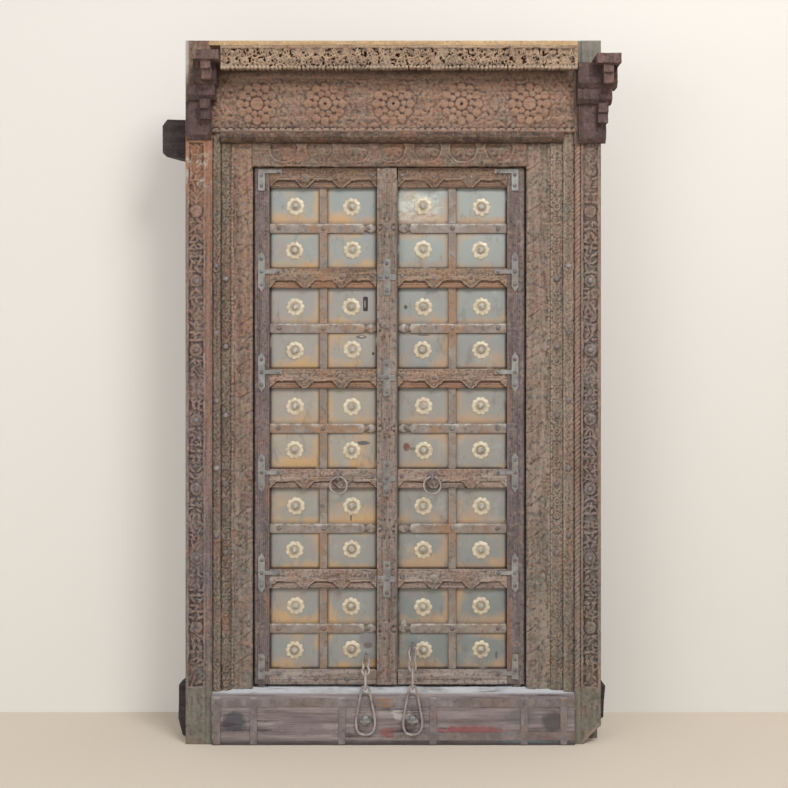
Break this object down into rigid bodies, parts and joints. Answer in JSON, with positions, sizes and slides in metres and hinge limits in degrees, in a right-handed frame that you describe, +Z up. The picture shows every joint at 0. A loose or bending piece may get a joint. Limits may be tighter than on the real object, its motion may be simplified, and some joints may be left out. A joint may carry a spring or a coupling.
{
  "type": "carved double leaf door with frame",
  "caption": "Carved wooden double door in a nested frame, with iron-sheet fields, brass flower bosses, pull rings and hanging chain hasps.",
  "frame": {"origin": "on the ground line, in the front plane of the outer posts, midway between them", "axes": "+X to the right seen from the front, -Y is the front, +Z up"},
  "size_m": [1.496, 0.25, 2.296],
  "materials": {
    "timber": "old carved hardwood, dirty and worn",
    "leaf_timber": "old hardwood, worn",
    "sheet_iron": "old pale paint with ochre stains",
    "iron": "wrought iron, dull",
    "brass": "tarnished pale brass"
  },
  "bodies": {
    "frame": {"sill": "timber", "ground_beam": "timber", "head_beam": "timber", "lintel": "timber", "ovolo_moulding": "timber", "frieze": "timber", "cornice_carving": "timber", "cornice_board": "timber", "left_bracket": "timber", "right_bracket": "timber", "rope_moulding": "timber", "sill_irons": "iron", "sill_staples": "iron", "frame_nails": "iron", "left_outer_post": "timber", "left_outer_band": "timber", "left_middle_band": "timber", "left_vine_jamb": "timber", "left_rear_post": "timber", "right_outer_post": "timber", "right_outer_band": "timber", "right_middle_band": "timber", "right_vine_jamb": "timber", "right_rear_post": "timber"},
    "left_leaf": {"left_pivot_stile": "leaf_timber", "left_top_rail": "leaf_timber", "left_middle_rails": "leaf_timber", "left_bottom_rail": "leaf_timber", "left_boards": "leaf_timber", "left_sheets": "sheet_iron", "left_bars": "iron", "left_straps": "iron", "left_bosses": "brass", "left_plates": "iron", "left_leaf_nails": "iron", "left_eyes": "iron", "left_meeting_stile": "leaf_timber"},
    "left_ring": {"left_ring": "iron"},
    "left_link": {"left_link": "iron"},
    "left_joining_link": {"left_joining_link": "iron"},
    "left_hasp_loop": {"left_hasp_loop": "iron"},
    "right_leaf": {"right_pivot_stile": "leaf_timber", "right_top_rail": "leaf_timber", "right_middle_rails": "leaf_timber", "right_bottom_rail": "leaf_timber", "right_boards": "leaf_timber", "right_sheets": "sheet_iron", "right_bars": "iron", "right_straps": "iron", "right_bosses": "brass", "right_plates": "iron", "right_leaf_nails": "iron", "right_eyes": "iron"},
    "right_ring": {"right_ring": "iron"},
    "right_link": {"right_link": "iron"},
    "right_joining_link": {"right_joining_link": "iron"},
    "right_hasp_loop": {"right_hasp_loop": "iron"}
  },
  "joints": [
    {"name": "left_leaf_hinge", "type": "hinge", "parent": "frame", "child": "left_leaf", "pos_m": [-0.434, 0.048, 0.187], "axis": [0, 0, -1], "range_deg": [0, 90]},
    {"name": "left_ring_swing", "type": "hinge", "parent": "left_leaf", "child": "left_ring", "pos_m": [-0.18006, 0.02275, 0.8698], "axis": [-1, 0, 0], "range_deg": [0, 100]},
    {"name": "left_link_swing", "type": "hinge", "parent": "left_leaf", "child": "left_link", "pos_m": [-0.09001, 0.02575, 0.27422], "axis": [-1, 0, 0], "range_deg": [0, 60]},
    {"name": "left_joining_link_swing", "type": "hinge", "parent": "left_link", "child": "left_joining_link", "pos_m": [-0.09001, 0.00006, 0.22729], "axis": [-1, 0, 0], "range_deg": [0, 50]},
    {"name": "left_hasp_loop_swing", "type": "hinge", "parent": "left_joining_link", "child": "left_hasp_loop", "pos_m": [-0.09001, -0.01775, 0.19475], "axis": [-1, 0, 0], "range_deg": [0, 60]},
    {"name": "right_leaf_hinge", "type": "hinge", "parent": "frame", "child": "right_leaf", "pos_m": [0.409, 0.048, 0.187], "axis": [0, 0, 1], "range_deg": [0, 90]},
    {"name": "right_ring_swing", "type": "hinge", "parent": "right_leaf", "child": "right_ring", "pos_m": [0.12806, 0.02275, 0.8698], "axis": [-1, 0, 0], "range_deg": [0, 100]},
    {"name": "right_link_swing", "type": "hinge", "parent": "right_leaf", "child": "right_link", "pos_m": [0.06299, 0.02575, 0.30937], "axis": [-1, 0, 0], "range_deg": [0, 60]},
    {"name": "right_joining_link_swing", "type": "hinge", "parent": "right_link", "child": "right_joining_link", "pos_m": [0.06299, -0.00104, 0.23879], "axis": [-1, 0, 0], "range_deg": [0, 50]},
    {"name": "right_hasp_loop_swing", "type": "hinge", "parent": "right_joining_link", "child": "right_hasp_loop", "pos_m": [0.06299, -0.01775, 0.19475], "axis": [-1, 0, 0], "range_deg": [0, 60]}
  ]
}
